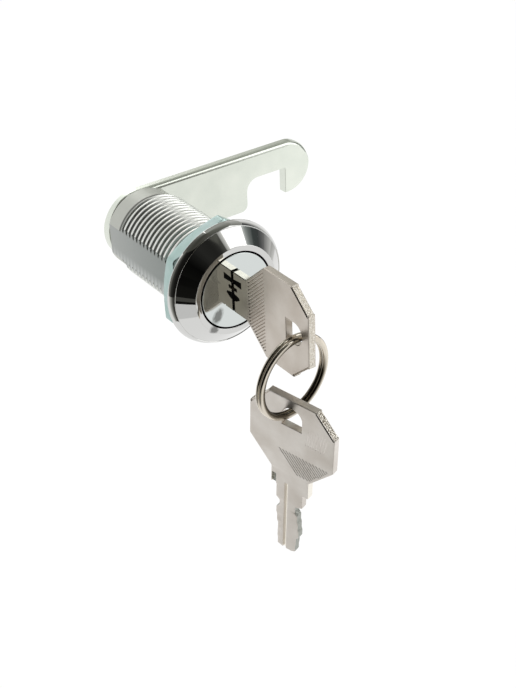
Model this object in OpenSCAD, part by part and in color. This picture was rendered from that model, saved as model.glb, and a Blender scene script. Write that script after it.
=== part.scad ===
// Cam lock for a mailbox door: a bezelled, double-D barrel with a turning wafer plug,
// a hooked cam, a mounting nut, and two flat keys on a split ring.
// Origin: lock axis at the bezel's rear face. The front faces -Y, the cam points to +X, +Z is up.

/* [Body] */
// Diameter of the bezel
bezel_d = 22.8; // [21.6:0.1:26]
// Height of the bezel from its rear face to its lip
bezel_h = 3.7; // [3.4:0.1:5]
// Height of the bezel's rim
rim_h = 1.4; // [1.2:0.1:1.8]
// Radius of the rim's front edge
rim_r = 0.55; // [0.3:0.05:0.7]
// Width of the rim, out to the foot of the cone
rim_w = 0.85; // [0.75:0.05:1.2]
// Width of the flat lip round the plug
lip_w = 1; // [0.6:0.1:1.2]
// Diameter over the barrel's thread
barrel_d = 16; // [15.6:0.1:17]
// Width of the barrel across its two flats
barrel_flats = 14; // [13.6:0.1:15]
// Length of the barrel behind the bezel
barrel_l = 26.4; // [25:0.1:36]
// Length of the plain end behind the thread
plain_l = 4.4; // [3:0.1:8]
// Depth of the thread, which the plain end is turned down to
thread_h = 0.45; // [0.3:0.05:0.6]
// Distance from one turn of the thread to the next
thread_pitch = 1.18; // [1:0.02:2]

/* [Mounting nut] */
// Width of the mounting nut across its flats
mount_nut_flats = 19.6; // [19:0.1:24]
// Thickness of the mounting nut
mount_nut_t = 3.6; // [2.4:0.1:5]
// Turn of the mounting nut on its thread, from a corner straight up
mount_nut_turn = -6; // [-30:1:30]

/* [Plug] */
// Diameter of the plug's head
head_d = 13.6; // [13:0.1:14.2]
// Gap between the plug's head and the lip
head_gap = 0.3; // [0.1:0.05:0.4]
// Height of the plug's head
head_h = 2.6; // [2:0.1:3]
// Diameter of the plug behind its head
plug_d = 10.8; // [10.4:0.1:11]
// Diameter of the tail that carries the cam
tail_d = 7; // [6.6:0.1:7.4]
// Width of the tail across its two flats
tail_flats = 5.4; // [5:0.1:6]
// Diameter of the threaded stud at the end of the tail
stud_d = 5; // [4.4:0.1:5.2]
// Length of the stud that stands past the cam nut
stud_over = 0.4; // [0.2:0.1:2]
// Angle that the plug turns through
turn_deg = 90; // [60:1:100]

/* [Wafers] */
// Place of the first wafer's middle behind the bezel's rear face
wafer_first = 0.6; // [0.4:0.1:1]
// Distance from one wafer to the next
wafer_pitch = 2; // [1.8:0.05:2.1]
// Thickness of a wafer
wafer_t = 1; // [0.8:0.05:1.1]
// Width of a wafer
wafer_w = 6.6; // [6.2:0.1:7]
// Distance that a wafer springs out of the plug
wafer_throw = 0.45; // [0.3:0.05:0.45]
// Diameter of a wafer spring
spring_d = 0.96; // [0.8:0.02:0.98]
// Diameter of the wire of a wafer spring
spring_wire = 0.2; // [0.15:0.01:0.24]
// Length of a wafer spring with the key in
spring_l = 3.3; // [2.8:0.1:3.6]
// Turns in a wafer spring
spring_turns = 6; // [4:1:7]

/* [Cam] */
// Radius of the cam's round end about the lock axis
cam_hub_r = 7; // [6:0.1:7.5]
// Distance from the lock axis to the tip of the cam
cam_reach = 38.7; // [36:0.1:46]
// Thickness of the cam
cam_t = 1.9; // [1.5:0.1:2.5]
// Radius of the hooked end
cam_end_r = 5.3; // [5:0.1:5.8]
// Distance from the lock axis down to the arm's lower edge
cam_low = 4.6; // [4.2:0.1:5.6]
// Distance from the lock axis to the root side of the hook's notch
notch_x = 23.7; // [22:0.1:24.2]
// Width of the hook's notch
notch_w = 9.1; // [8:0.1:9.6]
// Height of the notch's roof above the lock axis
notch_z = 1.75; // [0.5:0.05:2.2]
// Radius in the notch's inner corner
notch_r = 2.5; // [1:0.1:3]
// Radius of the arm's corner beside the notch
arm_corner_r = 1.5; // [0.5:0.1:2]

/* [Cam fixing] */
// Thickness of the stop washer
stop_t = 2.1; // [1.6:0.1:2.6]
// Reach of the stop washer's tab past the plug
stop_reach = 1; // [0.7:0.05:1.1]
// Angle that the stop washer's tab takes up
stop_tab_deg = 40; // [25:1:45]
// Distance that the stop washer stands out of the barrel
stop_proud = 0.15; // [0.1:0.05:0.4]
// Thickness of the split lock washer
lock_washer_t = 1; // [0.8:0.1:1.6]
// Diameter of the split lock washer
lock_washer_d = 8.4; // [7.8:0.1:9.2]
// Gap in the split lock washer
lock_washer_split = 0.8; // [0.4:0.1:1.2]
// Width of the cam nut across its flats
cam_nut_flats = 8; // [7.6:0.1:9.4]
// Thickness of the cam nut
cam_nut_t = 2.2; // [2:0.1:5]
// Turn of the cam nut on the stud, from a corner straight up
cam_nut_turn = 12; // [-30:1:30]

/* [Keys] */
// Thickness of a key
key_t = 1.4; // [1.2:0.05:1.6]
// Width of the bow
bow_w = 17; // [15:0.1:19]
// Width of the bow's flat end
bow_end_w = 9.6; // [8:0.1:11]
// Length of the neck between the shoulder and the bow
neck_l = 3.8; // [3:0.1:6]
// Width of the neck
neck_w = 7.8; // [7:0.1:8.6]
// Length of the bow's front slope
bow_front_l = 5.2; // [4:0.1:6]
// Length of the bow's straight sides
bow_side_l = 7.5; // [6:0.1:9]
// Length of the bow's rear slope
bow_rear_l = 4.2; // [3:0.1:5]
// Width of the arched hole in the bow
hole_w = 4; // [3.8:0.1:5]
// Straight length of the arched hole
hole_l = 2.2; // [1.6:0.1:3]
// Wall between the arch of the hole and the end of the bow
hole_wall = 1.8; // [1.4:0.1:3]
// Width of the blade
blade_w = 5.5; // [5:0.1:5.8]
// Length of the blade from the shoulder to the tip
blade_l = 15.4; // [15.2:0.1:18]
// Width of the blade's blunt tip
tip_w = 1.8; // [1:0.1:2.4]
// Width of the groove along each side of the blade
groove_w = 0.7; // [0.5:0.05:0.9]
// Depth of the groove along each side of the blade
groove_h = 0.4; // [0.25:0.05:0.45]
// Distance from the blade's middle to each groove's middle
groove_off = 0.65; // [0.5:0.05:0.9]

/* [Split ring] */
// Radius of the ring at the middle of its wire
ring_r = 7.2; // [7:0.1:8]
// Radial thickness of the ring's wire
ring_wire_r = 1.1; // [0.8:0.05:1.1]
// Axial thickness of one turn of the ring's wire
ring_wire_a = 0.68; // [0.5:0.02:0.7]
// Turn of the ring about the vertical
ring_yaw = 8; // [0:1:12]
// Nod of the ring towards the front
ring_tilt = 3; // [0:1:6]
// Turn of the spare key about the vertical
spare_yaw = -72; // [-80:1:-64]
// Lean of the spare key in its own plane
spare_lean = 6.5; // [0:0.5:10]
// Lean of the spare key's bow towards its near face
spare_pitch = 4.7; // [0:0.1:8]

/* [Hidden] */
$fn = 72;
// Clearances: running fits, sliding fits, faces that meet, and cuts that run past a face
run_fit = 0.05;
slide_fit = 0.08;
seat_gap = 0.05;
over = 1;

// Body
bezel_r = bezel_d/2;
barrel_r = barrel_d/2;
root_r = barrel_r - thread_h;
// One turn of the thread: places along its pitch, and its height at each
thread_form = [[0.1, 0], [0.35, 1], [0.65, 1], [0.9, 0]];
thread_n = floor((barrel_l - plain_l)/thread_pitch);
head_r = head_d/2;
head_bore_r = head_r + head_gap;
lip_r = head_bore_r + lip_w;
plug_r = plug_d/2;
bore_r = plug_r + run_fit;

// Plug, from its face at the front to the stud at the rear
face_y = -bezel_h;
head_rear = face_y + head_h;
plug_rear = barrel_l + stop_proud - stop_t;
cam_y = barrel_l + stop_proud;
lock_washer_y = cam_y + cam_t;
cam_nut_y = lock_washer_y + lock_washer_t;
stud_end = cam_nut_y + cam_nut_t + stud_over;
tail_short = 0.2;
tail_rear = lock_washer_y - tail_short;
stud_chamfer = 0.4;

// Stop: the tab rests at stop_rest and turns by turn_deg inside its recess
stop_slack_deg = 1;
stop_rest = 90 - turn_deg/2;
stop_r = plug_r + stop_reach;
stop_recess_r = stop_r + slide_fit;

// Wafers: the side of the blade that each one bears on, +1 for its upper edge
wafer_side = [1, -1, -1, 1, -1, 1];
wafer_n = len(wafer_side);
wafer_r = plug_r - run_fit;
wafer_last = wafer_first + (wafer_n - 1)*wafer_pitch;
channel_r = plug_r + wafer_throw + 2*slide_fit;
channel_w = wafer_w + 8*slide_fit;
channel_end = 0.5;
window_w = key_t + 2*slide_fit;
window_h = blade_w + 2*slide_fit;

// Spring pocket beside the window, with a post of the plug above the spring
pocket_w = spring_d + 2*slide_fit;
pocket_wall = 0.5;
pocket_x = window_w/2 + pocket_wall + pocket_w/2;
pocket_low = -1.75;
post_low = pocket_low + spring_l + 2*seat_gap;
post_h = 0.9;
pocket_top = post_low + post_h + wafer_throw + slide_fit;

// Keyway
keyway_past_tip = 0.8;
keyway_l = blade_l + keyway_past_tip;
rib_w = groove_w - 2*slide_fit;
rib_h = groove_h - slide_fit;

// Key outline, with its shoulder at 0, the bow on + and the blade on -
bow_front = neck_l + bow_front_l;
bow_rear = bow_front + bow_side_l;
bow_end = bow_rear + bow_rear_l;
hole_r = hole_w/2;
hole_v = bow_end - hole_wall - hole_r;
shoulder_y = face_y - seat_gap;
cut_flat = wafer_t + 4*slide_fit;
cut_upper = [0.75, 0.1, 0.3, 0.55, 0.5, 0.6];
cut_lower = [1.4, 0.9, 0.7, 0.5, 1, 1.1];
cut_lead = 0.6;

// Ring and spare key: the ring lies in each hole at (across, along) from the arch's centre
ring_lie_1 = [0.4, 0.8];
ring_lie_2 = [-0.9, 0.2];
ring_angle_1 = 77;
ring_angle_2 = -94;
ring_gap = 0.05;
ring_pitch = ring_wire_a + ring_gap;
ring_ends = 54;
ring_open = 30;
ring_steps = 138;
ring_chamfer = 0.2;
ring_hang = [0, shoulder_y - hole_v - ring_lie_1[1], -ring_lie_1[0]];
ring_at = ring_hang - ring_turned(ring_angle_1);

nut_chamfer_deg = 30;
nut_face_in = 0.15;
nut_clear = 0.06;

// Middle of wafer i, counted from 1
function wafer_y(i) = wafer_first + (i - 1)*wafer_pitch;

// Place on the ring's middle line, from the ring's centre, after its tilt and yaw
function ring_turned(a) =
    let (x = ring_r*cos(a), z = ring_r*sin(a))
    let (y = -z*sin(ring_tilt))
    [x*cos(ring_yaw) - y*sin(ring_yaw), x*sin(ring_yaw) + y*cos(ring_yaw), z*cos(ring_tilt)];

// Faces of a swept tube with n stations of m points each
function tube_faces(n, m) = concat(
    [[for (j = [0 : m - 1]) j]],
    [for (k = [0 : n - 2], j = [0 : m - 1])
        [k*m + j, (k + 1)*m + j, (k + 1)*m + (j + 1) % m, k*m + (j + 1) % m]],
    [[for (j = [m - 1 : -1 : 0]) (n - 1)*m + j]]);

// Shape drawn about Z, laid along the lock axis with its +Z to the rear
module on_axis() rotate([-90, 0, 0]) children();

// Outline in X and Z as seen from the front, from y to y + h
module plate(y, h) translate([0, y + h, 0]) rotate([90, 0, 0]) linear_extrude(h) children();

// Round bar on the lock axis
module bar(r, y_front, y_rear) plate(y_front, y_rear - y_front) circle(r);

// Disc cut off by two flats at left and right
module double_d(d, flats) intersection() {
    circle(d = d);
    square([flats, 2*d], center = true);
}

// Wedge of a disc between two angles
module sector(r, from, to) intersection() {
    steps = 4;
    circle(r);
    polygon(concat([[0, 0]],
        [for (k = [0 : steps]) let (a = from + (to - from)*k/steps) [2*r*cos(a), 2*r*sin(a)]]));
}

// Hexagon nut with both faces chamfered at the corners
module hex_nut(flats, t, bore_d, y, turn) difference() {
    face_r = flats/2 - nut_face_in;
    peak_r = face_r + t/2/tan(nut_chamfer_deg);
    intersection() {
        plate(y, t) rotate(90 + turn) circle(flats/2/cos(30), $fn = 6);
        translate([0, y, 0]) on_axis() rotate_extrude()
            polygon([[0, 0], [face_r, 0], [peak_r, t/2], [face_r, t], [0, t]]);
    }
    bar(bore_d/2, y - over, y + t + over);
}

// Bezel's half section, with the lock axis at 0 and the front downwards
module bezel_section() {
    square_y = rim_h - rim_r;
    translate([0, -square_y]) square([bezel_r, square_y]);
    translate([0, -rim_h]) square([bezel_r - rim_r, rim_h]);
    translate([bezel_r - rim_r, -square_y]) circle(rim_r);
    polygon([[0, -rim_h], [bezel_r - rim_w, -rim_h], [lip_r, -bezel_h], [0, -bezel_h]]);
}

// Barrel's half section, with rings in place of the thread's helix
module barrel_section() polygon(concat([[0, 0], [root_r, 0]],
    [for (k = [0 : thread_n - 1], p = thread_form) [root_r + p[1]*thread_h, (k + p[0])*thread_pitch]],
    [[root_r, barrel_l], [0, barrel_l]]));

// Body: bezel and double-D barrel, bored for the plug, its wafers and the stop
module body() color("silver") difference() {
    union() {
        on_axis() rotate_extrude() bezel_section();
        intersection() {
            on_axis() rotate_extrude() barrel_section();
            plate(0, barrel_l) square([barrel_flats, 2*barrel_d], center = true);
        }
    }
    bar(head_bore_r, face_y - over, head_rear + seat_gap);
    bar(bore_r, face_y, barrel_l + over);
    plate(wafer_y(1) - wafer_t/2 - channel_end, wafer_last - wafer_first + wafer_t + 2*channel_end)
        intersection() {
            circle(channel_r);
            square([channel_w, 3*plug_r], center = true);
        }
    plate(plug_rear - seat_gap, stop_t + over) sector(stop_recess_r,
        stop_rest - stop_tab_deg/2 - stop_slack_deg,
        stop_rest + turn_deg + stop_tab_deg/2 + stop_slack_deg);
}

module mounting_nut() color("lightsteelblue")
    hex_nut(mount_nut_flats, mount_nut_t, barrel_d + 2*nut_clear, seat_gap, mount_nut_turn);

// Slot for wafer i across the plug, less the post that its spring bears on
module wafer_slot(i) plate(wafer_y(i) - wafer_t/2 - slide_fit, wafer_t + 2*slide_fit)
    mirror([0, wafer_side[i - 1] > 0 ? 0 : 1, 0]) difference() {
        square([wafer_w + 2*slide_fit, 3*plug_r], center = true);
        translate([pocket_x - pocket_w/2 + slide_fit, post_low])
            square([pocket_w - 2*slide_fit, post_h]);
    }

// Opening for the blade, with a rib in each of its grooves
module keyway_outline() difference() {
    square([key_t + 2*slide_fit, blade_w + 2*slide_fit], center = true);
    for (s = [-1, 1]) translate([s*(key_t/2 + slide_fit), -s*groove_off])
        square([2*(rib_h + slide_fit), rib_w], center = true);
}

// Plug: face, wafer slots, keyway, flatted tail and threaded stud in one piece
module plug() color("gainsboro") difference() {
    union() {
        bar(head_r, face_y, head_rear);
        bar(plug_r, face_y, plug_rear);
        plate(plug_rear - over, tail_rear - plug_rear + over) double_d(tail_d, tail_flats);
        bar(stud_d/2, plug_rear, stud_end - stud_chamfer);
        translate([0, stud_end - stud_chamfer, 0]) on_axis()
            cylinder(h = stud_chamfer, r1 = stud_d/2, r2 = stud_d/2 - stud_chamfer);
    }
    plate(face_y - over, keyway_l + over) keyway_outline();
    for (i = [1 : wafer_n]) wafer_slot(i);
}

// Wafer i: a plate with a window for the blade and a pocket for its spring
module wafer(i) color("goldenrod") plate(wafer_y(i) - wafer_t/2, wafer_t)
    mirror([0, wafer_side[i - 1] > 0 ? 0 : 1, 0]) difference() {
        intersection() {
            circle(wafer_r);
            square([wafer_w, 3*plug_r], center = true);
        }
        square([window_w, window_h], center = true);
        translate([pocket_x - pocket_w/2, pocket_low]) square([pocket_w, pocket_top - pocket_low]);
    }

// Coil spring of wafer i, between the pocket's floor and the plug's post
module wafer_spring(i) color("dimgray") {
    sides = 5;
    turn_steps = 12;
    steps = spring_turns*turn_steps;
    coil_r = (spring_d - spring_wire)/2;
    rise = spring_l - spring_wire;
    translate([pocket_x, wafer_y(i), 0]) mirror([0, 0, wafer_side[i - 1] > 0 ? 0 : 1])
        translate([0, 0, pocket_low + seat_gap + spring_wire/2]) polyhedron(
            [for (k = [0 : steps], j = [0 : sides - 1])
                let (a = 360*k/turn_steps, b = -360*j/sides)
                let (r = coil_r + spring_wire/2*cos(b))
                [r*cos(a), r*sin(a), rise*k/steps + spring_wire/2*sin(b)]],
            tube_faces(steps + 1, sides));
}

// Stop washer: a disc on the tail's flats, with a tab that stops the plug at both ends
module stop_washer() color("darkgray") plate(plug_rear, stop_t) difference() {
    union() {
        circle(plug_r);
        sector(stop_r, stop_rest - stop_tab_deg/2, stop_rest + stop_tab_deg/2);
    }
    double_d(tail_d + 2*run_fit, tail_flats + 2*run_fit);
}

// Cam's outline: round hub, straight arm, and a hook round an open notch
module cam_outline() difference() {
    end_x = cam_reach - cam_end_r;
    hook_x = notch_x + notch_w;
    union() {
        circle(cam_hub_r);
        translate([0, notch_z]) square([end_x, cam_hub_r - notch_z]);
        translate([0, -cam_low + arm_corner_r]) square([notch_x, cam_low + notch_z - arm_corner_r]);
        translate([0, -cam_low]) square([notch_x - arm_corner_r, cam_low]);
        translate([notch_x - arm_corner_r, -cam_low + arm_corner_r]) circle(arm_corner_r);
        translate([notch_x, notch_z - notch_r]) square([notch_r, notch_r]);
        difference() {
            translate([end_x, cam_hub_r - cam_end_r]) circle(cam_end_r);
            translate([hook_x - 2*cam_end_r, notch_z - 3*cam_end_r]) square([2*cam_end_r, 3*cam_end_r]);
        }
    }
    translate([notch_x + notch_r, notch_z - notch_r]) circle(notch_r);
    double_d(tail_d + 2*run_fit, tail_flats + 2*run_fit);
}

module cam() color("lightgray") plate(cam_y, cam_t) cam_outline();

module lock_washer() color("gray") plate(lock_washer_y, lock_washer_t) difference() {
    circle(d = lock_washer_d);
    circle(d = stud_d + 2*slide_fit);
    translate([0, -lock_washer_split/2]) square([lock_washer_d, lock_washer_split]);
}

module cam_nut() color("darkgray")
    hex_nut(cam_nut_flats, cam_nut_t, stud_d + 2*run_fit, cam_nut_y, cam_nut_turn);

// One edge of the blade, from inside the neck to the last cut; side is +1 for the lower edge
function blade_edge(side, cuts) = concat(
    [[side*blade_w/2, neck_l/2],
     [side*blade_w/2, -cut_place(1) + cut_flat/2 + cut_lead]],
    [for (i = [1 : wafer_n], e = [1, -1])
        [side*(blade_w/2 - cuts[i - 1]), -cut_place(i) + e*cut_flat/2]]);

// Distance of cut i from the key's shoulder
function cut_place(i) = wafer_y(i) - shoulder_y;

// List in the other order
function turned_round(list) = [for (k = [len(list) - 1 : -1 : 0]) list[k]];

// Blade cut on both edges, with a blunt tip
module blade_outline() polygon(concat(
    blade_edge(-1, cut_upper),
    [[-tip_w/2, -blade_l], [tip_w/2, -blade_l]],
    turned_round(blade_edge(1, cut_lower))));

// Bow with sloped corners and an arched hole for the ring
module bow_outline() difference() {
    union() {
        translate([-neck_w/2, 0]) square([neck_w, neck_l]);
        polygon([[-neck_w/2, neck_l], [neck_w/2, neck_l], [bow_w/2, bow_front], [bow_w/2, bow_rear],
            [bow_end_w/2, bow_end], [-bow_end_w/2, bow_end], [-bow_w/2, bow_rear], [-bow_w/2, bow_front]]);
    }
    translate([0, hole_v]) circle(hole_r);
    translate([-hole_r, hole_v - hole_l]) square([hole_w, hole_l]);
}

// Flat key about its shoulder: across is X, bow is +Y, near face is +Z
module key() difference() {
    translate([0, 0, -key_t/2]) linear_extrude(key_t) union() {
        bow_outline();
        blade_outline();
    }
    for (s = [-1, 1]) translate([-s*groove_off - groove_w/2, -blade_l - over, s*key_t/2 - groove_h])
        cube([groove_w, blade_l + over, 2*groove_h]);
}

module inserted_key() color("rosybrown")
    translate([0, shoulder_y, 0]) rotate([0, 90, -90]) rotate([90, 0, 0]) key();

module spare_key() color("rosybrown")
    translate(ring_at + ring_turned(ring_angle_2)) rotate([spare_pitch, spare_lean, spare_yaw])
        rotate([90, 0, 0]) translate([-ring_lie_2[0], -hole_v - ring_lie_2[1], 0]) key();

// Split ring: nearly two turns of flat wire, stepping from one to the other at its open side
module split_ring() color("slategray") {
    sweep = 720 - ring_open;
    hr = ring_wire_r/2;
    ha = ring_wire_a/2;
    c = ring_chamfer;
    section = [[hr, ha - c], [hr - c, ha], [c - hr, ha], [-hr, ha - c],
        [-hr, c - ha], [c - hr, -ha], [hr - c, -ha], [hr, c - ha]];
    translate(ring_at) rotate([ring_tilt, 0, ring_yaw]) polyhedron(
        [for (k = [0 : ring_steps], s = section)
            let (t = sweep*k/ring_steps)
            let (step = min(max((t - 360 + ring_open)/ring_open, 0), 1))
            let (a = ring_ends + ring_open/2 + t)
            let (y = ring_pitch*(step*step*(3 - 2*step) - 0.5) + s[1])
            [(ring_r + s[0])*cos(a), y, (ring_r + s[0])*sin(a)]],
        tube_faces(ring_steps + 1, len(section)));
}

body();
mounting_nut();
plug();
for (i = [1 : wafer_n]) wafer(i);
for (i = [1 : wafer_n]) wafer_spring(i);
stop_washer();
cam();
lock_washer();
cam_nut();
inserted_key();
split_ring();
spare_key();
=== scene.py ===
import cmath
import math

import bmesh
import bpy
import numpy as np
from mathutils import Matrix, Vector
from mathutils.geometry import tessellate_polygon


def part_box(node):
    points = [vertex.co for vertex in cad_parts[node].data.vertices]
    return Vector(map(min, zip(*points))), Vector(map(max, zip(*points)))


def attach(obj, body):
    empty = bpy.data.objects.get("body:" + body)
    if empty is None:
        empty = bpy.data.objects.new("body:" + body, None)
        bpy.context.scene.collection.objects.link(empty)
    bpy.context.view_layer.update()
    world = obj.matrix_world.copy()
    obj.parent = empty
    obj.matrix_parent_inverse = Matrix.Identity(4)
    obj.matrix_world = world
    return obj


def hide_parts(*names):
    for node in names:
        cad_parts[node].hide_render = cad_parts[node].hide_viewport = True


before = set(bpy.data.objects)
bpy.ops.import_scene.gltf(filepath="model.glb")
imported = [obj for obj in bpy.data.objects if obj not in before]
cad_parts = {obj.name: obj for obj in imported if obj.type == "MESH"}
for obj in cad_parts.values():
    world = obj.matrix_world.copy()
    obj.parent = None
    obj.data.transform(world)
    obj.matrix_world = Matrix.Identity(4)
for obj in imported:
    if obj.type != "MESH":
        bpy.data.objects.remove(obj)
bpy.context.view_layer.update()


# Body
# One zinc die casting, bezel and double-D barrel together, chrome plated all over. The bezel is polished
# to a mirror. The thread is cut into the two round sides, and the flats stop the lock turning in its hole.

MM = 0.001
body_low, body_high = (corner/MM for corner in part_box("body"))
bezel_r = body_high.x
bezel_front = body_low.y
barrel_end = body_high.y
head_bore_r = 7.1
head_seat_y = -1.05
lip_r = 8.1
rim_groove = (10.6, -1.34)
rim_ridge = (10.69, -1.4)
rim_shoulder = (11.23, -0.8)
barrel_r = 8
barrel_flat_x = 7
thread_end = 22
thread_pitch = 1.18
thread_depth = 0.45
bore_r = 5.45
channel_r = 6.01
channel_half_w = 3.62
channel_ends = (-0.4, 11.6)
stop_recess_r = 6.48
stop_recess_y = 24.4
stop_recess_deg = (24, 156)
end_chamfer = 0.35
flat_edges_deg = ((21, 30), (150, 159), (201, 210), (330, 339))
run_out_turns = 0.6
flat_fade_y = (9, 25)
flat_fade_z = (-1.2, -3.4)
# Place, reach and lean of the painted grey reflection on the lip.
lip_reflection_at = (-4.85, bezel_front, -5.9)
lip_reflection_reach = (1.15, 1)
lip_reflection_deg = 40


def rounded(corners, steps=5):
    """Path through (across, along, rounding) corners, with an arc at each corner that has a rounding."""
    path = []
    spots = [complex(*corner[:2]) for corner in corners]
    for i, (spot, corner) in enumerate(zip(spots, corners)):
        if corner[2] == 0:
            path.append(spot)
            continue
        back = spots[i - 1] - spot
        ahead = spots[(i + 1) % len(spots)] - spot
        back, ahead = back/abs(back), ahead/abs(ahead)
        half = abs(cmath.phase(ahead/back))/2
        centre = spot + (back + ahead)/abs(back + ahead)*corner[2]/math.sin(half)
        start = spot + back*corner[2]/math.tan(half) - centre
        sweep = cmath.phase((spot + ahead*corner[2]/math.tan(half) - centre)/start)
        path += [centre + start*cmath.exp(1j*sweep*k/steps) for k in range(steps + 1)]
    return path


def angles(*marks, step=2.5):
    """Angles of a full turn in radians, evenly spaced and with close steps across each (from, to) mark."""
    spread = [np.arange(0, 360.01, step)]
    spread += [np.linspace(low, high, 15) for low, high in marks]
    return np.radians(np.unique(np.concatenate(spread).round(3)))


def row(turn, r, y):
    """One ring of points about the lock axis; radius and place are numbers or one value for each angle."""
    return np.stack([r*np.cos(turn), y + 0*turn, r*np.sin(turn)], -1)


def flat_sides(turn, half_w):
    """Radius at each angle of two flats, one at the left and one at the right of the lock axis."""
    return half_w/np.maximum(np.abs(np.cos(turn)), 1e-6)


def thread_radius(turn, y, crest, depth, pitch, steep=2, broad=0.9):
    """Radius of a right-hand thread with broad crests at each angle and place along the axis."""
    wave = np.tanh(steep*np.cos(2*np.pi*(y/pitch - turn/(2*np.pi))) + broad)
    top, root = np.tanh(broad + steep), np.tanh(broad - steep)
    return crest - depth*(top - wave)/(top - root)


def thread_places(turn, start, end, pitch, per_turn=14):
    """Places along the axis for rows that follow a thread's helix from one face to the other."""
    first = math.floor(start/pitch) - 1
    last = math.ceil(end/pitch) + 1
    lead = turn/(2*np.pi)
    return [np.clip((k/per_turn + lead)*pitch, start, end) for k in range(first*per_turn, last*per_turn)]


def solid(name, points, faces, sharp_deg=24):
    """Closed mesh piece from points in millimetres, smooth but for the edges sharper than an angle."""
    mesh = bpy.data.meshes.new(name)
    mesh.from_pydata((np.asarray(points)*MM).tolist(), [], faces)
    form = bmesh.new()
    form.from_mesh(mesh)
    bmesh.ops.remove_doubles(form, verts=form.verts, dist=0.002*MM)
    bmesh.ops.dissolve_degenerate(form, edges=form.edges, dist=0.001*MM)
    bmesh.ops.recalc_face_normals(form, faces=form.faces)
    form.to_mesh(mesh)
    form.free()
    piece = bpy.data.objects.new(name, mesh)
    bpy.context.scene.collection.objects.link(piece)
    return smooth(piece, sharp_deg)


def smooth(piece, sharp_deg=24):
    """Smooth shading that keeps flat faces flat and edges above an angle sharp."""
    piece.data.polygons.foreach_set("use_smooth", [True]*len(piece.data.polygons))
    piece.data.set_sharp_from_angle(angle=math.radians(sharp_deg))
    even = piece.modifiers.get("even") or piece.modifiers.new("even", "WEIGHTED_NORMAL")
    even.keep_sharp = True
    return piece


def skin(name, rows, closed=True, sharp_deg=24):
    """Solid whose surface runs from row to row; each row starts and ends at the same angle."""
    rows = np.array(rows)
    count, width = rows.shape[:2]
    faces = []
    for i in range(count if closed else count - 1):
        a, b = i*width, (i + 1) % count*width
        faces += [(a + j, a + j + 1, b + j + 1, b + j) for j in range(width - 1)]
    return solid(name, rows.reshape(-1, 3), faces, sharp_deg)


def colour(code):
    """Linear colour of an sRGB hex code."""
    parts = [int(code[k:k + 2], 16)/255 for k in (1, 3, 5)]
    return (*(c/12.92 if c <= 0.04045 else ((c + 0.055)/1.055)**2.4 for c in parts), 1)


def join(tree, made, links):
    """Sets a node's inputs, by name or number, to values, or links them to sockets or first outputs."""
    for key, value in links.items():
        slots = [slot for slot in made.inputs if slot.enabled and slot.name == key]
        slot = slots[0] if slots else made.inputs[key]
        if isinstance(value, bpy.types.Node):
            value = next(output for output in value.outputs if output.enabled)
        if isinstance(value, bpy.types.NodeSocket):
            tree.links.new(value, slot)
        else:
            slot.default_value = value


def node(tree, kind, links={}, **settings):
    """Shader node with its settings, and its inputs joined to other nodes or set."""
    made = tree.nodes.new("ShaderNode" + kind)
    for key, value in settings.items():
        setattr(made, key, value)
    join(tree, made, links)
    return made


def metal(name, code, roughness):
    """Bare metal material, with its tree, its shader and object coordinates in metres."""
    made = bpy.data.materials.new(name)
    made.use_nodes = True
    tree = made.node_tree
    shader = tree.nodes["Principled BSDF"]
    join(tree, shader, {"Base Color": colour(code), "Metallic": 1, "Roughness": roughness})
    return made, tree, shader, node(tree, "TexCoord").outputs["Object"]


def streaky_oval(tree, place, at, reach, lean_deg):
    """Mask of a soft, streaky oval on a front face, from its place and its reach along and across."""
    lean = (0, math.radians(lean_deg), 0)
    size = (reach[0]*MM, 2*MM, reach[1]*MM)
    at = Vector(at)*MM
    spot = node(tree, "Mapping", {"Vector": place, "Location": at, "Rotation": lean, "Scale": size},
                vector_type="TEXTURE")
    streak = node(tree, "TexNoise", {"Vector": spot, "Scale": 2.5, "Detail": 3})
    fade = node(tree, "TexGradient", {"Vector": spot}, gradient_type="SPHERICAL").outputs["Fac"]
    fade = node(tree, "Math", {0: fade, 1: streak}, operation="MULTIPLY")
    return node(tree, "MapRange", {"Value": fade, "From Min": 0.02, "From Max": 0.26})


def dress(piece, made, body, slot, *nodes):
    """Gives a piece its material, hands it to the body that carries it, and hides the solids it replaces."""
    piece.data.materials.clear()
    piece.data.materials.append(made)
    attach(piece, body)
    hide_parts(*nodes)


body_turn = angles(*flat_edges_deg, stop_recess_deg)
flat_limit = flat_sides(body_turn, barrel_flat_x)
plain_end_r = np.minimum(barrel_r - thread_depth, flat_limit)
channel = np.maximum(bore_r, np.minimum(channel_r, flat_sides(body_turn, channel_half_w)))
in_recess = (np.degrees(body_turn) >= stop_recess_deg[0]) & (np.degrees(body_turn) <= stop_recess_deg[1])
recess = np.where(in_recess, stop_recess_r, bore_r)

bezel_path = rounded([
    (head_bore_r, head_seat_y, 0), (head_bore_r, bezel_front, 0.1), (lip_r, bezel_front, 0.12),
    (*rim_groove, 0.02), (*rim_ridge, 0.05), (*rim_shoulder, 2.4), (bezel_r, 0, 0.15),
    (barrel_r + 1, 0, 0)])
body_rows = [row(body_turn, spot.real, spot.imag) for spot in bezel_path]
for y in thread_places(body_turn, 0, thread_end, thread_pitch):
    run_out = np.clip((thread_end - y)/(run_out_turns*thread_pitch), 0, 1)
    cut = thread_radius(body_turn, y, barrel_r, thread_depth, thread_pitch)
    cut = barrel_r - thread_depth + (cut - barrel_r + thread_depth)*run_out
    body_rows.append(row(body_turn, np.minimum(cut, flat_limit), y))
for r, y in ((plain_end_r, barrel_end - end_chamfer), (plain_end_r - end_chamfer, barrel_end),
             (recess, barrel_end), (recess, stop_recess_y), (bore_r, stop_recess_y),
             (bore_r, channel_ends[1]), (channel, channel_ends[1]), (channel, channel_ends[0]),
             (bore_r, channel_ends[0]), (bore_r, head_seat_y)):
    body_rows.append(row(body_turn, r, y))
body_piece = skin("lock_body", body_rows)
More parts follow.
